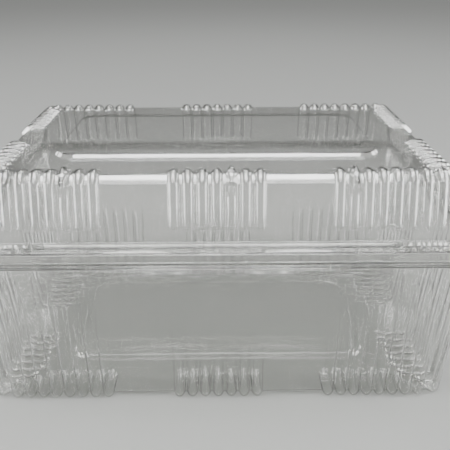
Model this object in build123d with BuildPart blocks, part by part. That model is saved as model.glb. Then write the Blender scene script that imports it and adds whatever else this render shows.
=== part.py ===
"""Clear hinged food pack: one thermoformed sheet, drawn closed.

The tray and the lid are thin drafted shells that share one edge path, a rounded rectangle.
Every level of the pack is an offset from that path. Hollow flutes wrap over the lid's top edge
and under the tray's bottom edge, in four corner groups and two middle groups.
Millimetres, +Z up, front towards -Y, origin under the middle of the pack.
"""
import math
import os

from build123d import *

os.makedirs("parts", exist_ok=True)

# Sheet, and the clearance between the closed lid and tray
SHEET = 0.4
GAP = 0.3

# Edge path that all levels are offset from: half lengths and corner radius
EDGE_X = 84.0
EDGE_Y = 55.25
EDGE_R = 4.0

# Flutes: spacing, gap between two, depth of the buried root, and groups along the path
PITCH = 5.0
VALLEY = 0.7
ROOT = 0.3
MIDDLE_FLUTES = 7
CORNER_FLUTES = 8
CORNER_ROOM = 6.5

# Rim: lip, skirt, bead, and the step down to the lid's shelf
LIP_OFFSET = 17.25
LIP_HEIGHT = 62.8
SKIRT_OFFSET = 14.3
SKIRT_ANGLE = 6.0
SKIRT_HEIGHT = 3.5
STEP_PLAY = 0.8
STEP_DEPTH = 0.7

# Tray: its flutes fade out towards the rim, and end in a slope under the floor
TRAY_OFFSET = 10.1
TRAY_DRAFT = 7.5
TRAY_FLUTE = 2.0
TRAY_CREST = 1.2
TRAY_FADE = 2.0
TRAY_REACH = 12.5
TRAY_HIP = 48.0
TRAY_MITRE = 3.0

# Lid: its flutes stop short of the shelf, and slope away on the top
LID_HEIGHT = 22.9
LID_OFFSET = 3.15
LID_DRAFT = 10.0
LID_CHAMFER = 2.7
LID_FLUTE = 1.6
LID_TIP = 3.8
LID_HIP = 24.0
LID_REACH = 8.5

# Stacking panel, and the lugs that keep nested lids apart
PANEL_X = 61.5
PANEL_Y = 33.0
PANEL_R = 8.0
PANEL_RISE = 1.5
PANEL_ANGLE = 35.0
STACK_PLAY = 0.8
LUG_RISE = 2.5
LUG_DROP = 10.4
LUG_REACH = 8.0
LEFT_LUG_FLUTE = 5
MIDDLE_LUG_FLUTE = 1
RIGHT_LUG_FLUTE = 6

# Sizes that follow
FLUTE_WIDTH = PITCH - VALLEY
CORNER_LAST = EDGE_X - CORNER_ROOM
STEP_OFFSET = TRAY_OFFSET - 2 * SHEET - STEP_PLAY
TRAY_FLOOR = TRAY_FLUTE
FOLD_R = SHEET + GAP / 2
FOLD_Y = EDGE_Y + LIP_OFFSET - FOLD_R
FOLD_Z = LIP_HEIGHT + FOLD_R
FOLD_LENGTH = 2 * (EDGE_X - EDGE_R) - 2 * PITCH
LID_LIP = LIP_HEIGHT + SHEET + GAP
LID_BEAD = LID_LIP + SKIRT_HEIGHT
SHELF = LID_BEAD - STEP_DEPTH
TRAY_BEAD = LID_BEAD - SHEET - GAP
TRAY_DEPTH = TRAY_BEAD - TRAY_FLOOR
TRAY_SKIRT = SKIRT_OFFSET - SHEET - GAP
BURIED = ROOT + SHEET


def slope(angle):
    return math.tan(math.radians(angle))


def facing(angle):
    """Unit normal of a line in a side profile, from level outwards (0) to straight up (90)."""
    return Vector(math.cos(math.radians(angle)), math.sin(math.radians(angle)))


def mitre(first, second):
    """Step of a profile corner when the two lines that meet there both move out by one."""
    return (facing(first) + facing(second)) / (1 + facing(first).dot(facing(second)))


def slab(offset_out, base, height, angle=0.0):
    """Block on the edge path's outline, offset outwards, with sides that lean in as they rise."""
    with BuildPart() as body:
        with BuildSketch(Plane.XY.offset(base)):
            RectangleRounded(2 * (EDGE_X + offset_out), 2 * (EDGE_Y + offset_out), EDGE_R + offset_out)
        extrude(amount=height, taper=angle)
    return body.part


def panel(grow, base, rise):
    """Panel block with sloping sides, standing on a base height."""
    with BuildPart() as body:
        with BuildSketch(Plane.XY.offset(base)):
            RectangleRounded(2 * (PANEL_X + grow), 2 * (PANEL_Y + grow), PANEL_R + grow)
        extrude(amount=rise, taper=PANEL_ANGLE)
    return body.part


def finger(points, crest, rise):
    """Upright finger from its side profile, with a flat crest or a ridge, and flanks that slope to its root."""
    run = (FLUTE_WIDTH - crest) / 2 / rise
    with BuildPart() as body:
        with BuildSketch(Plane.XY.offset(crest / 2)):
            with BuildLine():
                Polyline(*[(point.X, point.Y) for point in points], close=True)
            make_face()
        extrude(amount=(rise + ROOT) * run, taper=math.degrees(math.atan2(1, run)))
        if crest:
            extrude(body.faces().sort_by(Axis.Z)[0], amount=crest / 2)
        mirror(about=Plane.XY)
    return body.part.rotate(Axis.X, 90)


def flute_places():
    """Places on one quarter of the edge path, each with the room inwards before the corner."""
    places = []
    for step in range(MIDDLE_FLUTES // 2 + 1):
        places.append((EDGE_X, Location((step * PITCH, EDGE_Y, 0), (0, 0, 90))))
    for step in range(CORNER_FLUTES):
        room = CORNER_ROOM + step * PITCH
        places.append((room, Location((EDGE_X - room, EDGE_Y, 0), (0, 0, 90))))
        places.append((room, Location((EDGE_X, EDGE_Y - room, 0), (0, 0, 0))))
    arc = EDGE_R * (1 - math.sqrt(0.5))
    places.append((CORNER_ROOM, Location((EDGE_X - arc, EDGE_Y - arc, 0), (0, 0, 45))))
    return places


def fluted(slabs, profile, full_reach, clear, crest, rise):
    """Box of stacked slabs, fluted round its top edge: one quarter is made and then mirrored."""
    by_reach = {}
    for room, spot in flute_places():
        by_reach.setdefault(min(full_reach, room - clear), []).append(spot)
    fingers = [(finger(profile(reach), crest, rise), by_reach[reach]) for reach in by_reach]
    with BuildPart() as box:
        add(slabs)
        for rib, spots in fingers:
            with Locations(*spots):
                add(rib)
        split(bisect_by=Plane.YZ, keep=Keep.TOP)
        split(bisect_by=Plane.XZ, keep=Keep.BOTTOM)
        split(bisect_by=Plane.XY, keep=Keep.TOP)
        mirror(about=Plane.YZ)
        mirror(about=Plane.XZ)
    return box.part


def lid_shape(inset):
    """Fluted crown of the lid standing on z = 0, with its panel and lugs, drawn in by an inset."""
    bend = LID_HEIGHT - LID_CHAMFER
    shoulder = Vector(LID_OFFSET - bend * slope(LID_DRAFT), bend) - mitre(LID_DRAFT, 45) * inset
    top = Vector(LID_OFFSET - bend * slope(LID_DRAFT) - LID_CHAMFER, LID_HEIGHT) - mitre(45, 90) * inset
    foot = shoulder.X + shoulder.Y * slope(LID_DRAFT)

    def profile(reach, rise=LID_FLUTE, tip_height=LID_TIP):
        """Up the wall from a sloping tip, over the chamfer, and down to the top as it runs inwards."""
        tip = Vector(foot - tip_height * slope(LID_DRAFT), tip_height)
        up_tip = facing(LID_DRAFT + 90 - LID_HIP) / math.sin(math.radians(LID_HIP))
        fall = math.degrees(math.asin(rise / (top.X + reach)))
        crest_top = top + mitre(45, 90 + fall) * rise
        down_end = (Vector(-reach, top.Y) - crest_top) / (crest_top.Y - top.Y)
        return (
            tip - up_tip * BURIED,
            tip + up_tip * rise,
            shoulder + mitre(LID_DRAFT, 45) * rise,
            crest_top,
            Vector(-reach, top.Y) + down_end * BURIED,
        )

    slabs = [slab(foot, 0, shoulder.Y, LID_DRAFT), slab(shoulder.X, shoulder.Y, top.Y - shoulder.Y, 45)]
    box = fluted(slabs, profile, LID_REACH, 0, 0, LID_FLUTE)
    raised = panel(-inset * slope(45 - PANEL_ANGLE / 2), top.Y, PANEL_RISE)
    lug = finger(profile(LUG_REACH, LUG_RISE, LID_HEIGHT - LUG_DROP), 0, LUG_RISE)
    left_lug = LEFT_LUG_FLUTE * PITCH - CORNER_LAST
    right_lug = CORNER_LAST - RIGHT_LUG_FLUTE * PITCH
    lug_places = (left_lug, MIDDLE_LUG_FLUTE * PITCH, right_lug)
    with BuildPart() as shape:
        add(box)
        add(raised)
        with Locations(*[Location((along, -EDGE_Y, 0), (0, 0, -90)) for along in lug_places]):
            add(lug)
    return shape.part


def tray_shape(inset):
    """Fluted tray upside down with its rim on z = 0, drawn in by an inset."""
    heel = Vector(TRAY_OFFSET - TRAY_DEPTH * slope(TRAY_DRAFT), TRAY_DEPTH) - mitre(TRAY_DRAFT, 90) * inset
    foot = heel.X + heel.Y * slope(TRAY_DRAFT)
    fade = math.degrees(math.atan2(TRAY_FLUTE, TRAY_DEPTH - TRAY_FADE))
    lean = TRAY_DRAFT - fade

    def profile(reach):
        """From where it has faded into the wall, out to the heel, and in under the floor."""
        crest_heel = heel + mitre(lean, 90) * TRAY_FLUTE
        crest_end = Vector(-reach, crest_heel.Y)
        return (
            crest_heel + facing(lean - 90) * ((TRAY_FLUTE + BURIED) / math.sin(math.radians(fade))),
            crest_heel,
            crest_end,
            crest_end - Vector(1 / slope(TRAY_HIP), 1) * (TRAY_FLUTE + BURIED),
        )

    slabs = [slab(foot, 0, heel.Y, TRAY_DRAFT)]
    return fluted(slabs, profile, TRAY_REACH, TRAY_MITRE, 0 if inset else TRAY_CREST, TRAY_FLUTE)


# Tray: lip, bead and skirt, then the fluted shell hung from the bead
tray_lip = slab(LIP_OFFSET, LIP_HEIGHT, SHEET)
tray_bead = slab(TRAY_SKIRT, LIP_HEIGHT, TRAY_BEAD - LIP_HEIGHT, SKIRT_ANGLE)
tray_bead_hollow = slab(TRAY_SKIRT - SHEET, LIP_HEIGHT, TRAY_BEAD - SHEET - LIP_HEIGHT, SKIRT_ANGLE)
tray_recess = panel(STACK_PLAY, TRAY_FLOOR, PANEL_RISE)
tray_raised = panel(STACK_PLAY + SHEET * slope(45 - PANEL_ANGLE / 2), TRAY_FLOOR + SHEET, PANEL_RISE)
hang = Location((0, 0, TRAY_BEAD), (180, 0, 0))
tray_outside = hang * tray_shape(0)
tray_inside = hang * tray_shape(SHEET) - tray_raised

with BuildPart() as tray:
    add([tray_lip, tray_bead])
    add(tray_bead_hollow, mode=Mode.SUBTRACT)
    with Locations((0, FOLD_Y, LIP_HEIGHT)):
        Box(4 * EDGE_X, EDGE_Y, LIP_HEIGHT, align=(Align.CENTER, Align.MIN, Align.CENTER), mode=Mode.SUBTRACT)
    with BuildSketch(Plane.YZ):
        with Locations((FOLD_Y, FOLD_Z)):
            Circle(FOLD_R)
            Circle(GAP / 2, mode=Mode.SUBTRACT)
            Rectangle(FOLD_R, FOLD_R, align=(Align.MIN, Align.MAX), mode=Mode.INTERSECT)
    extrude(amount=FOLD_LENGTH / 2, both=True)
    add(tray_outside)
    add([tray_recess, tray_inside], mode=Mode.SUBTRACT)

# Lid: lip, skirt, bead and shelf, then the fluted crown that stands on the shelf
lid_lip = slab(LIP_OFFSET, LID_LIP, SHEET)
lid_bead = slab(SKIRT_OFFSET, LID_LIP, SKIRT_HEIGHT, SKIRT_ANGLE)
lid_bead_hollow = slab(SKIRT_OFFSET - SHEET, LID_LIP, SKIRT_HEIGHT - SHEET, SKIRT_ANGLE)
lid_shelf = slab(STEP_OFFSET + SHEET, SHELF - SHEET, STEP_DEPTH + SHEET)
lid_step = slab(STEP_OFFSET, SHELF, STEP_DEPTH)
lid_mouth = slab(LID_OFFSET - SHEET / math.cos(math.radians(LID_DRAFT)), SHELF - SHEET, SHEET)
stand = Location((0, 0, SHELF))
lid_outside = stand * lid_shape(0)
lid_inside = stand * lid_shape(SHEET)

with BuildPart() as lid:
    add([lid_lip, lid_bead])
    add(lid_bead_hollow, mode=Mode.SUBTRACT)
    add(lid_shelf)
    add(lid_step, mode=Mode.SUBTRACT)
    with Locations((0, FOLD_Y, LID_LIP)):
        Box(4 * EDGE_X, EDGE_Y, LIP_HEIGHT, align=(Align.CENTER, Align.MIN, Align.CENTER), mode=Mode.SUBTRACT)
    with BuildSketch(Plane.YZ):
        with Locations((FOLD_Y, FOLD_Z)):
            Circle(FOLD_R)
            Circle(GAP / 2, mode=Mode.SUBTRACT)
            Rectangle(FOLD_R, FOLD_R, align=(Align.MIN, Align.MIN), mode=Mode.INTERSECT)
    extrude(amount=FOLD_LENGTH / 2, both=True)
    add(lid_outside)
    add([lid_mouth, lid_inside], mode=Mode.SUBTRACT)

tray.part.label = "tray"
lid.part.label = "lid"
export_step(tray.part, "parts/tray.step")
export_step(lid.part, "parts/lid.step")
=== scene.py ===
"""Clear hinged food pack, closed, on a pale floor under soft studio light. The pack's sizes are in
millimetres and become metres where a mesh is made. The front faces -Y, and the fold is at +Y."""
import math

import bpy
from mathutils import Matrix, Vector


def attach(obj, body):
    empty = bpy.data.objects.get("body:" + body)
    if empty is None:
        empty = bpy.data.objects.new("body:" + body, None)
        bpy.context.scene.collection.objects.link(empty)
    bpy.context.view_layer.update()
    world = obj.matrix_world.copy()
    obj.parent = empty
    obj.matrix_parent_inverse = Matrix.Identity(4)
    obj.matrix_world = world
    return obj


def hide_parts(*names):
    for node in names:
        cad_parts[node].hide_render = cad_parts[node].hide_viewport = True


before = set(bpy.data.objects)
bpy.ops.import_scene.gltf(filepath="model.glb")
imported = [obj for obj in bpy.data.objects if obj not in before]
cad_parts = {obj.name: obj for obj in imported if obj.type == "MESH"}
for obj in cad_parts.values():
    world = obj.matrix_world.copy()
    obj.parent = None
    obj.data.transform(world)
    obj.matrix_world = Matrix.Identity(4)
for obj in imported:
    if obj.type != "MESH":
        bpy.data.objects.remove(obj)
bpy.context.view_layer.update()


# Tray: the deep lower half of the pack. It is drawn by vacuum from one clear sheet, so its walls lean
# out, its flutes are hollow, and its rim is bent up into a bead and out into a flat lip. At the back
# the lip rolls up to the fold line that it shares with the lid.
MM = 0.001
EDGE_X = 84.0
EDGE_Y = 55.25
EDGE_R = 4.0
CORNER_STEPS = 12
PITCH = 5.0
FLUTE_WIDTH = 4.3
MIDDLE_FLUTES = 7
CORNER_FLUTES = 8
CORNER_ROOM = 6.5
LUG_CREST = 0.27


def columns_round_edge():
    """Places round the edge path, counter-clockwise from the front: side, distance along, corner angle."""
    across = (-1, -0.82, -0.55, -LUG_CREST, 0, LUG_CREST, 0.55, 0.82, 1)
    places = []
    for side in range(4):
        half = (EDGE_X, EDGE_Y)[side % 2]
        middles = [half - CORNER_ROOM - k * PITCH for k in range(CORNER_FLUTES)]
        middles += [-middle for middle in middles]
        if side % 2 == 0:
            middles += [k * PITCH for k in range(-(MIDDLE_FLUTES // 2), MIDDLE_FLUTES // 2 + 1)]
        stops = [middle + part * FLUTE_WIDTH / 2 for middle in middles for part in across]
        stops += [EDGE_R - half, half - EDGE_R]
        stops.sort()
        wide = [(low, high) for low, high in zip(stops, stops[1:]) if high - low > PITCH]
        stops += [low + (high - low) * part / 4 for low, high in wide for part in (1, 2, 3)]
        places += [(side, along, None) for along in sorted(stops)]
        places += [(side, half, math.pi / 2 * part / CORNER_STEPS) for part in range(1, CORNER_STEPS)]
    return places


SMALL_BEND = 0.5


def bent_profile(bends):
    """Points along straight runs and rounded bends, each given as out, up, radius, steps to the next."""
    points = []
    count = 1
    for k, (out, up, radius, steps) in enumerate(bends):
        corner = Vector((out, up))
        curve = [corner]
        if radius:
            back = (Vector(bends[k - 1][:2]) - corner).normalized()
            on = (Vector(bends[k + 1][:2]) - corner).normalized()
            leg = radius * math.tan((math.pi - back.angle(on)) / 2)
            parts = (0, 0.25, 0.5, 0.75, 1) if radius > SMALL_BEND else (0, 1 / 3, 2 / 3, 1)
            curve = [corner + back * leg * (1 - t) ** 2 + on * leg * t ** 2 for t in parts]
        if points:
            start = points[-1]
            points += [start.lerp(curve[0], step / count) for step in range(1, count)]
        points += curve
        count = steps
    return points


TIGHTEST_R = 0.6


def sheet_rows(profile, facing):
    """Rows from the lip inwards: half lengths, corner radius, height, lean of flutes, distance run."""
    rows = []
    run = 0.0
    for k, point in enumerate(profile):
        along = profile[min(k + 1, len(profile) - 1)] - profile[max(k - 1, 0)]
        along.normalize()
        run += (point - profile[k - 1]).length if k else 0.0
        out, up = point
        radius = max(TIGHTEST_R, EDGE_R + out)
        rows.append((EDGE_X + out, EDGE_Y + out, radius, up, facing * along.y, -facing * along.x, run))
    return rows


PANEL_X = 61.5
PANEL_Y = 33.0
PANEL_R = 8.0
PANEL_MARGIN = 3.0
PANEL_SLOPE = 1.05
PANEL_BEND = 0.6
PANEL_FLAT = 4.0


def panel_rows(play, base, top, start):
    """Rows of the stacking panel in the same form, grown by a play and counted on from a start."""
    profile = bent_profile((
        (play + PANEL_MARGIN, base, 0, 1), (play, base, PANEL_BEND, 1),
        (play - PANEL_SLOPE, top, PANEL_BEND, 1), (play - PANEL_FLAT, top, 0, 1)))
    return [
        (PANEL_X + grow, PANEL_Y + grow, PANEL_R + grow, up, 0.0, 1.0, start + k)
        for k, (grow, up) in enumerate(profile, 1)
    ]


LIP_OUT = 17.25
FOLD_R = 0.55
FOLD_HALF = 75.0
GUIDES = ("along", "half", "run", "diagonal", "lug")


def formed_sheet(name, rows, facing, lugs=()):
    """One skin of a formed sheet as a grid of rows and columns, with the guides that its flutes need."""
    columns = columns_round_edge()
    spots, leans = [], []
    values = {guide: [] for guide in GUIDES}
    for half_x, half_y, radius, up, lean_out, lean_up, run in rows:
        for side, along, angle in columns:
            half = (half_x, half_y)[side % 2]
            depth = (half_y, half_x)[side % 2]
            limit = half - radius
            if angle is None:
                flat = Vector((max(-limit, min(limit, along)), -depth))
                out = Vector((0.0, -1.0))
            else:
                out = Vector((math.sin(angle), -math.cos(angle)))
                flat = Vector((limit, radius - depth)) + out * radius
            for vector in (flat, out):
                vector.xy = ((vector.x, vector.y), (-vector.y, vector.x), (-vector.x, -vector.y),
                             (vector.y, -vector.x))[side]
            height = up
            from_lip = EDGE_X + LIP_OUT - half_x
            if side == 2 and angle is None and abs(along) < FOLD_HALF and from_lip < FOLD_R:
                height = up - facing * (FOLD_R - math.sqrt(FOLD_R ** 2 - (FOLD_R - from_lip) ** 2))
            spots.append(Vector((flat.x, flat.y, height)) * MM)
            leans += (out.x * lean_out, out.y * lean_out, lean_up)
            values["along"].append(along)
            values["half"].append((EDGE_X, EDGE_Y)[side % 2])
            values["run"].append(run)
            values["diagonal"].append((abs(flat.x) - abs(flat.y) - EDGE_X + EDGE_Y) / math.sqrt(2))
            on_lug = side == 0 and any(abs(along - lug) < PITCH / 2 for lug in lugs)
            values["lug"].append(1.0 if on_lug else 0.0)
    count = len(columns)
    faces = []
    for low in range(0, count * (len(rows) - 1), count):
        for k in range(count):
            corners = (low + k, low + (k + 1) % count, low + count + (k + 1) % count, low + count + k)
            faces.append(corners[::facing])
    faces.append(tuple(range(len(spots) - count, len(spots)))[::facing])
    mesh = bpy.data.meshes.new(name)
    mesh.from_pydata(spots, [], faces)
    for guide in GUIDES:
        mesh.attributes.new(guide, "FLOAT", "POINT").data.foreach_set("value", values[guide])
    mesh.attributes.new("lean", "FLOAT_VECTOR", "POINT").data.foreach_set("vector", leans)
    piece = bpy.data.objects.new(name, mesh)
    bpy.context.scene.collection.objects.link(piece)
    return piece


def add_node(tree, kind, links=(), **settings):
    """Adds a node with its settings; each link is a socket with the value or the output that feeds it."""
    node = tree.nodes.new(kind)
    for name, value in settings.items():
        setattr(node, name, value)
    for socket, value in links:
        if isinstance(value, bpy.types.NodeSocket):
            tree.links.new(value, node.inputs[socket])
        else:
            node.inputs[socket].default_value = value
    return node


def linear(code):
    """Linear colour of an sRGB hex code."""
    parts = [int(code[k:k + 2], 16) / 255 for k in (1, 3, 5)]
    return tuple(p / 12.92 if p <= 0.04045 else ((p + 0.055) / 1.055) ** 2.4 for p in parts) + (1.0,)


# Rigid polyester sheet, vacuum-formed: clear and glossy, with a faint grey in its thickness. The draw
# leaves slow waves in its surface, about 14 mm long, and finer chill marks about 0.8 mm apart.
WAVE_LENGTH = 14
CHILL_SPACING = 0.8
clear_sheet = bpy.data.materials.new("clear_polyester_sheet")
clear_sheet.use_nodes = True
shading = clear_sheet.node_tree
skin = shading.nodes["Principled BSDF"]
skin.inputs["Base Color"].default_value = linear("#fafaf9")
skin.inputs["Transmission Weight"].default_value = 1.0
skin.inputs["IOR"].default_value = 1.57
place = add_node(shading, "ShaderNodeTexCoord")
waves = add_node(shading, "ShaderNodeTexNoise", (
    ("Vector", place.outputs["Object"]), ("Scale", 1000 / WAVE_LENGTH), ("Detail", 1.0)))
chill = add_node(shading, "ShaderNodeTexNoise", (
    ("Vector", place.outputs["Object"]), ("Scale", 1000 / CHILL_SPACING), ("Detail", 2.0)))
gloss = add_node(shading, "ShaderNodeMapRange", (
    ("Value", chill.outputs["Fac"]), ("From Min", 0.35), ("From Max", 0.75),
    ("To Min", 0.02), ("To Max", 0.06)))
drawn = add_node(shading, "ShaderNodeBump", (
    ("Height", waves.outputs["Fac"]), ("Strength", 0.2), ("Distance", 0.08 * MM)))
marked = add_node(shading, "ShaderNodeBump", (
    ("Height", chill.outputs["Fac"]), ("Strength", 0.05), ("Distance", 0.02 * MM),
    ("Normal", drawn.outputs["Normal"])))
shading.links.new(gloss.outputs["Result"], skin.inputs["Roughness"])
shading.links.new(marked.outputs["Normal"], skin.inputs["Normal"])
# A thin sheet throws only a pale shadow, so most of the light that falls on it goes straight through.
light_ray = add_node(shading, "ShaderNodeLightPath")
let_through = add_node(shading, "ShaderNodeBsdfTransparent", (("Color", linear("#c8c9c7")),))
sheet_look = add_node(shading, "ShaderNodeMixShader", (
    (0, light_ray.outputs["Is Shadow Ray"]), (1, skin.outputs["BSDF"]), (2, let_through.outputs["BSDF"])))
shading.links.new(sheet_look.outputs["Shader"], shading.nodes["Material Output"].inputs["Surface"])

# Flutes: half-round hollow fingers pressed out of the sheet, in a group at each corner and one in the
# middle of each long side. They wrap over the edge and shorten towards the corners, and one stands on
# each diagonal. A lug is a flute with flat flanks that meet in a narrow crest.
ROUNDNESS = 0.65
WELD = 0.002
flutes = bpy.data.node_groups.new("flutes", "GeometryNodeTree")
flutes.is_modifier = True
flutes.interface.new_socket("Sheet", in_out="INPUT", socket_type="NodeSocketGeometry")
for name in ("Pitch", "Half Width", "Middle Half", "Corner Room", "Corner Middle", "Corner Half", "Rise",
             "Start", "Fade", "Tip", "End", "Edge Run", "Reach", "Clear", "Diagonal Reach", "Lug Start",
             "Lug Taper", "Lug Rise"):
    flutes.interface.new_socket(name, in_out="INPUT", socket_type="NodeSocketFloat")
flutes.interface.new_socket("Material", in_out="INPUT", socket_type="NodeSocketMaterial")
flutes.interface.new_socket("Sheet", in_out="OUTPUT", socket_type="NodeSocketGeometry")
given = add_node(flutes, "NodeGroupInput")
found = {socket.name: socket for socket in given.outputs}
for guide in GUIDES:
    read = add_node(flutes, "GeometryNodeInputNamedAttribute", (("Name", guide),), data_type="FLOAT")
    found[guide] = read.outputs[0]
for name, operation, *terms in (
    ("from_middle", "ABSOLUTE", "along"),
    ("near_middle", "LESS_THAN", "from_middle", "Middle Half"),
    ("long_side", "GREATER_THAN", "half", EDGE_Y),
    ("in_middle", "MULTIPLY", "near_middle", "long_side"),
    ("half_pitch", "MULTIPLY", "Pitch", 0.5),
    ("low_pitch", "MULTIPLY", "Pitch", -0.5),
    ("across_middle", "WRAP", "along", "half_pitch", "low_pitch"),
    ("room", "SUBTRACT", "half", "from_middle"),
    ("from_last", "SUBTRACT", "room", "Corner Room"),
    ("in_corner", "COMPARE", "from_last", "Corner Middle", "Corner Half"),
    ("across_corner", "WRAP", "from_last", "half_pitch", "low_pitch"),
    ("own_room", "SUBTRACT", "room", "across_corner"),
    ("free_room", "SUBTRACT", "own_room", "Clear"),
    ("reach", "MINIMUM", "Reach", "free_room"),
    ("span", "ADD", "Edge Run", "reach"),
    ("spread", "SUBTRACT", "across_middle", "across_corner"),
    ("across", "MULTIPLY_ADD", "spread", "in_middle", "across_corner"),
    ("present", "MAXIMUM", "in_middle", "in_corner"),
    ("beside", "DIVIDE", "across", "Half Width"),
    ("beside_square", "MULTIPLY", "beside", "beside"),
    ("risen", "SUBTRACT", "run", "Start"),
    ("tip_part", "DIVIDE", "risen", "Tip"),
    ("tip_short", "SUBTRACT", 1.0, "tip_part"),
    ("tip_none", "MAXIMUM", "tip_short", 0.0),
    ("tip_square", "MULTIPLY", "tip_none", "tip_none"),
    ("to_end", "SUBTRACT", "span", "run"),
    ("end_part", "DIVIDE", "to_end", "End"),
    ("end_short", "SUBTRACT", 1.0, "end_part"),
    ("end_none", "MAXIMUM", "end_short", 0.0),
    ("end_square", "MULTIPLY", "end_none", "end_none"),
    ("ends", "ADD", "tip_square", "end_square"),
    ("off_crest", "ADD", "ends", "beside_square"),
    ("under_crest", "SUBTRACT", 1.0, "off_crest"),
    ("inside", "MAXIMUM", "under_crest", 0.0),
    ("rounded", "POWER", "inside", ROUNDNESS),
    ("side_flute", "MULTIPLY", "rounded", "present"),
    ("corner_beside", "DIVIDE", "diagonal", "Half Width"),
    ("corner_square", "MULTIPLY", "corner_beside", "corner_beside"),
    ("corner_span", "ADD", "Edge Run", "Diagonal Reach"),
    ("corner_to_end", "SUBTRACT", "corner_span", "run"),
    ("corner_end_part", "DIVIDE", "corner_to_end", "End"),
    ("corner_end_short", "SUBTRACT", 1.0, "corner_end_part"),
    ("corner_end_none", "MAXIMUM", "corner_end_short", 0.0),
    ("corner_end_square", "MULTIPLY", "corner_end_none", "corner_end_none"),
    ("corner_ends", "ADD", "tip_square", "corner_end_square"),
    ("corner_off", "ADD", "corner_ends", "corner_square"),
    ("corner_under", "SUBTRACT", 1.0, "corner_off"),
    ("corner_inside", "MAXIMUM", "corner_under", 0.0),
    ("corner_flute", "POWER", "corner_inside", ROUNDNESS),
    ("flute", "MAXIMUM", "side_flute", "corner_flute"),
    ("fade_part", "DIVIDE", "risen", "Fade"),
    ("fade_low", "MAXIMUM", "fade_part", 0.0),
    ("fading", "MINIMUM", "fade_low", 1.0),
    ("full", "MULTIPLY", "Rise", "fading"),
    ("flute_rise", "MULTIPLY", "flute", "full"),
    ("from_crest", "ABSOLUTE", "beside"),
    ("lug_side", "MAXIMUM", "from_crest", LUG_CREST),
    ("lug_up", "SUBTRACT", "run", "Lug Start"),
    ("lug_up_part", "DIVIDE", "lug_up", "Lug Taper"),
    ("lug_up_short", "SUBTRACT", 1.0, "lug_up_part"),
    ("lug_up_none", "MAXIMUM", "lug_up_short", 0.0),
    ("lug_off", "ADD", "lug_side", "lug_up_none"),
    ("lug_end", "ADD", "lug_off", "end_none"),
    ("lug_under", "SUBTRACT", 1.0, "lug_end"),
    ("lug_inside", "MAXIMUM", "lug_under", 0.0),
    ("lug_here", "MULTIPLY", "lug_inside", "lug"),
    ("lug_rise", "MULTIPLY", "lug_here", "Lug Rise"),
    ("rise", "MAXIMUM", "flute_rise", "lug_rise"),
    ("rise_metres", "MULTIPLY", "rise", MM),
):
    fed = [(k, found[term] if isinstance(term, str) else term) for k, term in enumerate(terms)]
    found[name] = add_node(flutes, "ShaderNodeMath", fed, operation=operation).outputs[0]
lean = add_node(flutes, "GeometryNodeInputNamedAttribute", (("Name", "lean"),), data_type="FLOAT_VECTOR")
push = add_node(flutes, "ShaderNodeVectorMath", (
    (0, lean.outputs[0]), ("Scale", found["rise_metres"])), operation="SCALE")
moved = add_node(flutes, "GeometryNodeSetPosition", (
    ("Geometry", given.outputs["Sheet"]), ("Offset", push.outputs["Vector"])))
joined = add_node(flutes, "GeometryNodeMergeByDistance", (
    ("Geometry", moved.outputs["Geometry"]), ("Distance", WELD * MM)))
real = add_node(flutes, "GeometryNodeRealizeInstances", (("Geometry", joined.outputs["Geometry"]),))
clad = add_node(flutes, "GeometryNodeSetMaterial", (
    ("Geometry", real.outputs["Geometry"]), ("Material", given.outputs["Material"])))
add_node(flutes, "NodeGroupOutput", (("Sheet", clad.outputs["Geometry"]),))

SHEET = 0.4
SHARP_ANGLE = 50


def press_flutes(piece, sizes):
    """Presses the flutes into a skin, gives it the sheet's thickness, and leaves a plain mesh."""
    pressed = piece.modifiers.new("flutes", "NODES")
    pressed.node_group = flutes
    sizes = dict(sizes, **{
        "Pitch": PITCH, "Half Width": FLUTE_WIDTH / 2, "Middle Half": MIDDLE_FLUTES * PITCH / 2,
        "Corner Room": CORNER_ROOM, "Corner Middle": (CORNER_FLUTES - 1) * PITCH / 2,
        "Corner Half": CORNER_FLUTES * PITCH / 2, "Material": clear_sheet})
    for socket in flutes.interface.items_tree:
        if socket.in_out == "INPUT" and socket.name in sizes:
            pressed[socket.identifier] = sizes[socket.name]
    thick = piece.modifiers.new("thickness", "SOLIDIFY")
    thick.thickness = SHEET * MM
    thick.offset = -1.0
    shown = piece.evaluated_get(bpy.context.evaluated_depsgraph_get())
    formed = bpy.data.meshes.new_from_object(shown)
    piece.modifiers.clear()
    piece.data = formed
    for layer in list(formed.attributes):
        if layer.name in (*GUIDES, "lean"):
            formed.attributes.remove(layer)
    formed.shade_smooth()
    formed.set_sharp_from_angle(angle=math.radians(SHARP_ANGLE))
    flats = piece.modifiers.new("flats", "WEIGHTED_NORMAL")
    flats.keep_sharp = True
    shown = piece.evaluated_get(bpy.context.evaluated_depsgraph_get())
    shaded = bpy.data.meshes.new_from_object(shown)
    piece.modifiers.clear()
    piece.data = shaded


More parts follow.
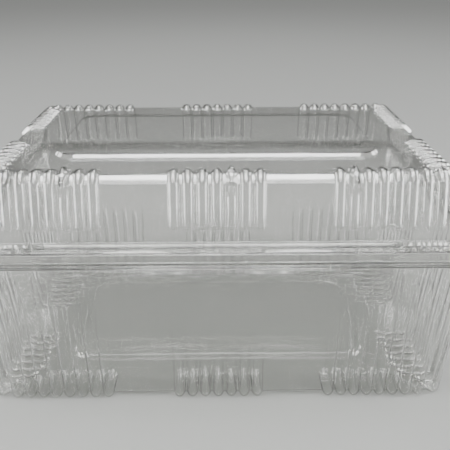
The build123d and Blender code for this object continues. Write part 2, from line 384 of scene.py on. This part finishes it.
ROW_PLAY = 0.05
LEVEL_PLAY = 1e-6
LIP_EDGE = 0.2
TRAY_LIP_UP = 62.8
TRAY_BEAD_UP = 65.9
TRAY_FLOOR_UP = 2.0
TRAY_PANEL_UP = 3.5
TRAY_SKIRT_OUT = (13.2, 12.9)
TRAY_WALL_OUT = (10.1, 1.635)
TRAY_FLOOR_IN = 14.5
TRAY_PLAY = 0.8
tray_rows = sheet_rows(bent_profile((
    (LIP_OUT, TRAY_LIP_UP, 0, 2), (LIP_OUT - LIP_EDGE, TRAY_LIP_UP, 0, 2),
    (LIP_OUT - FOLD_R, TRAY_LIP_UP, 0, 2), (TRAY_SKIRT_OUT[0], TRAY_LIP_UP, 0.5, 1),
    (TRAY_SKIRT_OUT[1], TRAY_BEAD_UP, 0.5, 1), (TRAY_WALL_OUT[0], TRAY_BEAD_UP, 0.5, 10),
    (TRAY_WALL_OUT[1], TRAY_FLOOR_UP, 1.2, 14), (-TRAY_FLOOR_IN, TRAY_FLOOR_UP, 0, 1))), -1)
tray_rim = min(run for half_x, *_, run in tray_rows if half_x < EDGE_X + TRAY_WALL_OUT[0] - ROW_PLAY)
tray_heel = max(run for _, _, _, up, *_, run in tray_rows if up > TRAY_FLOOR_UP + LEVEL_PLAY)
tray_run = tray_rows[-1][-1]
tray_rows += panel_rows(TRAY_PLAY, TRAY_FLOOR_UP, TRAY_PANEL_UP, tray_run)
tray_piece = formed_sheet("tray_sheet", tray_rows, -1)
press_flutes(tray_piece, {
    "Rise": 2.0, "Start": tray_rim, "Fade": tray_heel - tray_rim, "Tip": 2.0, "End": 3.0,
    "Edge Run": tray_run - TRAY_FLOOR_IN, "Reach": 12.5, "Clear": 1.5, "Diagonal Reach": 2.5,
    "Lug Start": 0.0, "Lug Taper": 1.0, "Lug Rise": 0.0})
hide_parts("tray")
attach(tray_piece, "tray")


# Lid: the shallow upper half, drawn from the same sheet. Its lip lies on the tray's lip, its bead closes
# over the tray's bead, and it steps in to a shelf that its fluted crown stands on. A low panel on top keys
# into the floor of the pack above, and three taller faceted lugs at the front keep nested lids apart.
LID_LIP_UP = 63.9
LID_BEAD_UP = 67.0
LID_SHELF_UP = 66.3
LID_BEND_UP = 86.5
LID_TOP_UP = 89.2
LID_PANEL_UP = 90.7
LID_SKIRT_OUT = (14.26, 13.93)
LID_STEP_OUT = 8.5
LID_WALL_OUT = (3.15, -0.41)
LID_TIPS = ((2.516, 69.9), (2.04, 72.6))
LID_CHAMFER_OUT = -3.11
LID_TOP_IN = 12.0
LUG_PLACES = (-10.5 * PITCH, PITCH, 9.5 * PITCH)
lid_rows = sheet_rows(bent_profile((
    (LIP_OUT, LID_LIP_UP, 0, 2), (LIP_OUT - LIP_EDGE, LID_LIP_UP, 0, 2),
    (LIP_OUT - FOLD_R, LID_LIP_UP, 0, 1), (LID_SKIRT_OUT[0], LID_LIP_UP, 0.6, 1),
    (LID_SKIRT_OUT[1], LID_BEAD_UP, 0.7, 1), (LID_STEP_OUT, LID_BEAD_UP, 0.35, 1),
    (LID_STEP_OUT, LID_SHELF_UP, 0.25, 1), (LID_WALL_OUT[0], LID_SHELF_UP, 0.8, 1),
    (*LID_TIPS[0], 0, 6), (*LID_TIPS[1], 0, 6), (LID_WALL_OUT[1], LID_BEND_UP, 0.9, 2),
    (LID_CHAMFER_OUT, LID_TOP_UP, 0.9, 7), (-LID_TOP_IN, LID_TOP_UP, 0, 1))), 1)
lid_foot = min(run for half_x, *_, run in lid_rows if half_x < EDGE_X + LID_WALL_OUT[0] + ROW_PLAY)
lid_run = lid_rows[-1][-1]
lid_rows += panel_rows(0.0, LID_TOP_UP, LID_PANEL_UP, lid_run)
lid_piece = formed_sheet("lid_sheet", lid_rows, 1, LUG_PLACES)
press_flutes(lid_piece, {
    "Rise": 1.6, "Start": lid_foot + 3.6, "Fade": 0.5, "Tip": 2.4, "End": 4.5,
    "Edge Run": lid_run - LID_TOP_IN, "Reach": 8.8, "Clear": 0.0, "Diagonal Reach": 5.0,
    "Lug Start": lid_foot + 15.5, "Lug Taper": 4.5, "Lug Rise": 3.8})
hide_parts("lid")
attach(lid_piece, "lid")


# Floor: a plain pale studio sweep that the pack stands on, so wide that its edge is lost in the distance.
# It is not part of the object. Its size is in metres.
FLOOR_HALF = 40
floor_mesh = bpy.data.meshes.new("floor")
floor_corners = [(FLOOR_HALF * x, FLOOR_HALF * y, 0) for x, y in ((-1, -1), (1, -1), (1, 1), (-1, 1))]
floor_mesh.from_pydata(floor_corners, [], [(0, 1, 2, 3)])
floor = bpy.data.objects.new("floor", floor_mesh)
bpy.context.scene.collection.objects.link(floor)
# Matt painted board: no gloss, so that only the pack catches the light.
board = bpy.data.materials.new("matt_painted_board")
board.use_nodes = True
paint = board.node_tree.nodes["Principled BSDF"]
paint.inputs["Base Color"].default_value = linear("#888987")
paint.inputs["Roughness"].default_value = 0.9
paint.inputs["Specular IOR Level"].default_value = 0.1
floor_mesh.materials.append(board)


# Light: soft strips over the front, for the lid's edge and its panel, one far behind that the rim's flats
# mirror, and soft boxes behind and beside for the crests, flutes, edges and lugs, with an even fill from
# above. The room is dim overhead and pale along the horizon. Places and sizes are in metres.
def soft_box(name, spot, aim, wide, deep, watts, spread=180):
    """A rectangular soft box that faces the point it is aimed at, with its spread in degrees."""
    lamp = bpy.data.lights.new(name, "AREA")
    lamp.shape = "RECTANGLE"
    lamp.size = wide
    lamp.size_y = deep
    lamp.energy = watts
    lamp.spread = math.radians(spread)
    box = bpy.data.objects.new(name, lamp)
    box.location = spot
    box.rotation_euler = (Vector(aim) - Vector(spot)).to_track_quat("-Z", "Y").to_euler()
    bpy.context.scene.collection.objects.link(box)


soft_box("over_edge", (0.0, -0.288, 0.832), (0.0, -0.054, 0.088), 0.55, 0.035, 2.4)
soft_box("over_panel", (0.0, -0.51, 0.732), (0.0, -0.033, 0.090), 0.55, 0.045, 3.2)
soft_box("behind", (0.0, 10.0, 4.80), (0.0, -0.066, 0.067), 10.0, 0.20, 17.7, spread=60)
soft_box("behind_crests", (0.0, 0.9, 1.17), (0.0, 0.03, 0.09), 0.5, 0.25, 10.0)
for turn in (-1, 1):
    soft_box("beside_flutes", (0.45 * turn, -0.17, 0.15), (0.0, -0.05, 0.07), 0.34, 0.3, 1.25, spread=90)
    soft_box("beside_edges", (0.80 * turn, 0.05, 0.42), (0.0, 0.0, 0.09), 0.8, 0.15, 6.0)
    soft_box("beside_lugs", (0.75 * turn, 0.6, 0.12), (0.0, 0.0, 0.08), 0.25, 0.22, 0.17, spread=50)
fill = bpy.data.lights.new("overhead", "SUN")
fill.angle = math.radians(50)
fill.energy = 2.7
overhead = bpy.data.objects.new("overhead", fill)
bpy.context.scene.collection.objects.link(overhead)
surroundings = bpy.data.worlds.new("surroundings")
bpy.context.scene.world = surroundings
surroundings.use_nodes = True
room = surroundings.node_tree
glow = room.nodes["Background"]
glow.inputs["Color"].default_value = linear("#c9cac8")
ray = add_node(room, "ShaderNodeTexCoord")
upward = add_node(room, "ShaderNodeSeparateXYZ", (("Vector", ray.outputs["Generated"]),))
dimming = add_node(room, "ShaderNodeMapRange", (
    ("Value", upward.outputs["Z"]), ("From Min", 0.02), ("From Max", 0.15),
    ("To Min", 0.50), ("To Max", 0.08)))
room.links.new(dimming.outputs["Result"], glow.inputs["Strength"])


# Camera: in front of the pack and a little above it, looking down, as the photograph was taken. Its lens,
# place and tilt were fitted to the pack's edges. Its place is in metres.
camera_data = bpy.data.cameras.new("camera")
camera_data.sensor_width = 36.0
camera_data.lens = 52.8
camera = bpy.data.objects.new("camera", camera_data)
camera.location = (0.00085, -0.2683, 0.1604)
camera.rotation_euler = (math.radians(90 - 22.65), math.radians(0.15), math.radians(-0.57))
bpy.context.scene.collection.objects.link(camera)
bpy.context.scene.camera = camera
